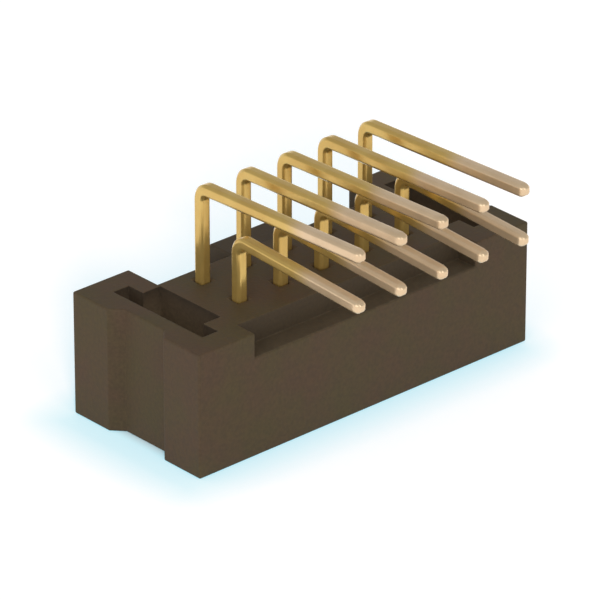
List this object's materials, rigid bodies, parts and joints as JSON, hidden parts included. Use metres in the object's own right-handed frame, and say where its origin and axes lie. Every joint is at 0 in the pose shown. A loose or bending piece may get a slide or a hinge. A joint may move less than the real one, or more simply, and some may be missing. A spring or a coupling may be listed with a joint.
{
  "type": "pin header",
  "caption": "Right-angle shrouded pin header: a keyed moulded box lying on its mating mouth, with square contacts bent over towards the circuit board.",
  "frame": {"origin": "centre of the housing on the plane of the mouth rim, where the mating socket goes in", "axes": "+X along the housing and its columns of contacts, -Y the way the tails leave, into the circuit board, +Z from the mouth rim to the rear face"},
  "size_m": [0.0206, 0.014, 0.0117],
  "materials": {
    "housing": "moulded thermoplastic, brown-black, matt",
    "contact": "gold plating over the post and bend, tin plating on the outer part of the tail"
  },
  "bodies": {
    "root": {"housing": "housing", "pin_upper_1": "contact", "pin_upper_2": "contact", "pin_upper_3": "contact", "pin_upper_4": "contact", "pin_upper_5": "contact", "pin_lower_1": "contact", "pin_lower_2": "contact", "pin_lower_3": "contact", "pin_lower_4": "contact", "pin_lower_5": "contact"}
  },
  "joints": []
}
